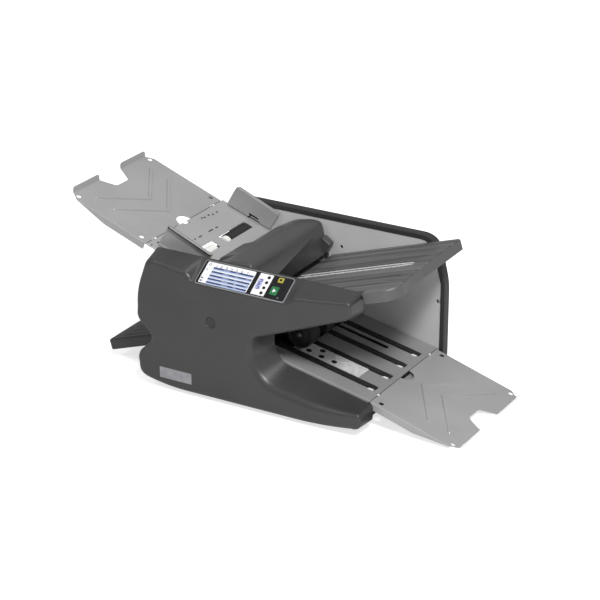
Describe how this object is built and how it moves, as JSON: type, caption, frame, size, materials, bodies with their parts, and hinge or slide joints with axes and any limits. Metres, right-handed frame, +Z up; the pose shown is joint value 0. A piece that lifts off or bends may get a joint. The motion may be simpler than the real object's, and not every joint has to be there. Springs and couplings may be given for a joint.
{
  "type": "paper folding machine",
  "caption": "Desktop paper folding machine: friction feed under a hinged hood, slanted upper and lower fold tables, belt delivery, control panel and fold-up paper trays.",
  "frame": {"origin": "on the desk, under the middle of the machine's overall box, trays down", "axes": "+X along the paper path from the feed tray to the delivery tray, +Y from the operator's side to the rear, +Z up"},
  "size_m": [0.9957, 0.4154, 0.4103],
  "materials": {
    "cover_plastic": "fine textured dark grey",
    "table_plastic": "fine textured dark grey",
    "painted_sheet": "satin light grey coat",
    "guide_sheet": "satin grey coat",
    "frame_sheet": "satin pale grey coat",
    "pan_sheet": "dark grey coat",
    "bare_steel": "zinc plated",
    "rail_steel": "bright rolled",
    "roller_rubber": "ground rubber on steel",
    "wheel_rubber": "smooth black",
    "belt_rubber": "flat black belt",
    "foot_rubber": "moulded",
    "pad_rubber": "brown friction pad in a steel holder",
    "gear_nylon": "natural nylon",
    "bush_bronze": "sintered bronze",
    "motor_paint": "black motor enamel",
    "panel_plastic": "grey moulded frame",
    "overlay_film": "printed polyester film",
    "window_film": "tinted window over lit digits",
    "board_laminate": "glass-fibre circuit board",
    "key_black": "moulded key cap",
    "key_green": "moulded key cap",
    "key_yellow": "moulded key cap",
    "inlet_plastic": "black moulding with steel pins",
    "rocker_plastic": "black rocker",
    "plate_metal": "bare brushed plate"
  },
  "bodies": {
    "frame": {"base_pan": "pan_sheet", "front_frame_plate": "frame_sheet", "rear_frame_plate": "frame_sheet", "tie_bars": "bare_steel", "front_cover": "cover_plastic", "rear_cover": "cover_plastic", "end_panels": "pan_sheet", "feed_table": "painted_sheet", "hinge_pins": "bare_steel", "conveyor_deck": "painted_sheet", "deck_plate": "rail_steel", "conveyor_belts": "belt_rubber", "upper_fold_table": "table_plastic", "upper_fold_channel": "bare_steel", "upper_rails": "rail_steel", "lower_fold_table": "table_plastic", "lower_fold_channel": "bare_steel", "control_panel": "panel_plastic", "panel_overlay": "overlay_film", "display_window": "window_film", "circuit_board": "board_laminate", "name_plate": "plate_metal", "rubber_feet": "foot_rubber", "cover_screws": "bare_steel", "motor": "motor_paint", "bearings": "bush_bronze", "wheel_arm": "bare_steel", "separator_pad": "pad_rubber", "drive_belts": "belt_rubber", "mains_inlet": "inlet_plastic"},
    "fold_1": {"fold_roller_1": "roller_rubber", "fold_gear_1": "gear_nylon"},
    "fold_2": {"fold_roller_2": "roller_rubber", "fold_gear_2": "gear_nylon"},
    "fold_3": {"fold_roller_3": "roller_rubber", "fold_gear_3": "gear_nylon"},
    "fold_4": {"fold_roller_4": "roller_rubber", "fold_gear_4": "gear_nylon"},
    "pickup": {"pickup_roller": "wheel_rubber"},
    "feeder": {"feed_wheel": "wheel_rubber"},
    "belt_drive": {"conveyor_drive_roller": "roller_rubber"},
    "belt_end": {"conveyor_end_roller": "roller_rubber"},
    "transfer": {"transfer_gear": "gear_nylon"},
    "wheels": {"delivery_wheels": "wheel_rubber"},
    "reduction": {"drive_gear": "gear_nylon"},
    "motor_shaft": {"motor_pinion": "bush_bronze"},
    "feed_tray": {"feed_extension": "painted_sheet"},
    "exit_tray": {"exit_extension": "painted_sheet"},
    "hood_cover": {"hood": "cover_plastic"},
    "front_guide": {"guide_front": "guide_sheet"},
    "rear_guide": {"guide_rear": "guide_sheet"},
    "upper_stop_bar": {"upper_stop": "bare_steel"},
    "lower_stop_bar": {"lower_stop": "bare_steel"},
    "start_button": {"start_key": "key_green"},
    "stop_button": {"stop_key": "key_yellow"},
    "set_button_1": {"set_key_1": "key_black"},
    "set_button_2": {"set_key_2": "key_black"},
    "set_button_3": {"set_key_3": "key_black"},
    "set_button_4": {"set_key_4": "key_black"},
    "rocker": {"power_rocker": "rocker_plastic"}
  },
  "joints": [
    {"name": "fold_1_spin", "type": "hinge", "parent": "frame", "child": "fold_1", "pos_m": [-0.03, 0, 0.243], "axis": [0, 1, 0], "continuous": true},
    {"name": "fold_2_spin", "type": "hinge", "parent": "frame", "child": "fold_2", "pos_m": [-0.03, 0, 0.207], "axis": [0, 1, 0], "continuous": true},
    {"name": "fold_3_spin", "type": "hinge", "parent": "frame", "child": "fold_3", "pos_m": [-0.00686, 0, 0.17942], "axis": [0, 1, 0], "continuous": true},
    {"name": "fold_4_spin", "type": "hinge", "parent": "frame", "child": "fold_4", "pos_m": [-0.02486, 0, 0.14824], "axis": [0, 1, 0], "continuous": true},
    {"name": "pickup_spin", "type": "hinge", "parent": "frame", "child": "pickup", "pos_m": [-0.20707, 0, 0.27107], "axis": [0, 1, 0], "continuous": true},
    {"name": "feed_wheel_spin", "type": "hinge", "parent": "frame", "child": "feeder", "pos_m": [-0.08735, 0, 0.26464], "axis": [0, 1, 0], "continuous": true},
    {"name": "belt_drive_spin", "type": "hinge", "parent": "frame", "child": "belt_drive", "pos_m": [0.01415, 0, 0.111], "axis": [0, 1, 0], "continuous": true},
    {"name": "belt_end_spin", "type": "hinge", "parent": "frame", "child": "belt_end", "pos_m": [0.25358, 0, 0.06625], "axis": [0, 1, 0], "continuous": true},
    {"name": "transfer_spin", "type": "hinge", "parent": "frame", "child": "transfer", "pos_m": [-0.01659, 0, 0.11785], "axis": [0, 1, 0], "continuous": true},
    {"name": "delivery_spin", "type": "hinge", "parent": "frame", "child": "wheels", "pos_m": [0.06143, 0, 0.14794], "axis": [0, 1, 0], "continuous": true},
    {"name": "reduction_spin", "type": "hinge", "parent": "frame", "child": "reduction", "pos_m": [-0.06909, 0, 0.11727], "axis": [0, 1, 0], "continuous": true},
    {"name": "motor_spin", "type": "hinge", "parent": "frame", "child": "motor_shaft", "pos_m": [-0.09491, 0, 0.08041], "axis": [0, 1, 0], "continuous": true},
    {"name": "feed_tray_fold", "type": "hinge", "parent": "frame", "child": "feed_tray", "pos_m": [-0.293, 0, 0.318], "axis": [0, 1, 0], "range_deg": [0, 75]},
    {"name": "exit_tray_fold", "type": "hinge", "parent": "frame", "child": "exit_tray", "pos_m": [0.279, 0, 0.067], "axis": [0, -1, 0], "range_deg": [0, 95]},
    {"name": "hood_lift", "type": "hinge", "parent": "frame", "child": "hood_cover", "pos_m": [-0.008, 0, 0.238], "axis": [0, 1, 0], "range_deg": [0, 40]},
    {"name": "front_guide_slide", "type": "slide", "parent": "frame", "child": "front_guide", "axis": [0, 1, 0], "range_m": [-0.01, 0.09]},
    {"name": "rear_guide_slide", "type": "slide", "parent": "frame", "child": "rear_guide", "axis": [0, -1, 0], "range_m": [0, 0.09]},
    {"name": "upper_stop_slide", "type": "slide", "parent": "frame", "child": "upper_stop_bar", "axis": [-0.9521, 0, -0.3057], "range_m": [-0.02, 0.22]},
    {"name": "lower_stop_slide", "type": "slide", "parent": "frame", "child": "lower_stop_bar", "axis": [0.9483, 0, 0.3173], "range_m": [-0.02, 0.26]},
    {"name": "start_press", "type": "slide", "parent": "frame", "child": "start_button", "axis": [0, 0.545, -0.8384], "range_m": [0, 0.001], "stiffness_N_per_m": 600},
    {"name": "stop_press", "type": "slide", "parent": "frame", "child": "stop_button", "axis": [0, 0.545, -0.8384], "range_m": [0, 0.001], "stiffness_N_per_m": 600},
    {"name": "set_press_1", "type": "slide", "parent": "frame", "child": "set_button_1", "axis": [0, 0.545, -0.8384], "range_m": [0, 0.001], "stiffness_N_per_m": 600},
    {"name": "set_press_2", "type": "slide", "parent": "frame", "child": "set_button_2", "axis": [0, 0.545, -0.8384], "range_m": [0, 0.001], "stiffness_N_per_m": 600},
    {"name": "set_press_3", "type": "slide", "parent": "frame", "child": "set_button_3", "axis": [0, 0.545, -0.8384], "range_m": [0, 0.001], "stiffness_N_per_m": 600},
    {"name": "set_press_4", "type": "slide", "parent": "frame", "child": "set_button_4", "axis": [0, 0.545, -0.8384], "range_m": [0, 0.001], "stiffness_N_per_m": 600},
    {"name": "power_rock", "type": "hinge", "parent": "frame", "child": "rocker", "pos_m": [-0.186, 0.2025, 0.06], "axis": [1, 0, 0], "range_deg": [0, 18]}
  ],
  "couplings": [
    {"joint": "fold_1_spin", "follows": "fold_2_spin", "ratio": -1},
    {"joint": "fold_3_spin", "follows": "fold_2_spin", "ratio": -1},
    {"joint": "fold_4_spin", "follows": "fold_2_spin", "ratio": 1},
    {"joint": "reduction_spin", "follows": "fold_2_spin", "ratio": -0.5},
    {"joint": "motor_spin", "follows": "fold_2_spin", "ratio": 2},
    {"joint": "transfer_spin", "follows": "fold_2_spin", "ratio": -1.3333},
    {"joint": "belt_drive_spin", "follows": "fold_2_spin", "ratio": 1},
    {"joint": "belt_end_spin", "follows": "fold_2_spin", "ratio": 1.8571},
    {"joint": "delivery_spin", "follows": "fold_2_spin", "ratio": -0.42857},
    {"joint": "pickup_spin", "follows": "fold_2_spin", "ratio": 1},
    {"joint": "feed_wheel_spin", "follows": "fold_2_spin", "ratio": -1}
  ]
}
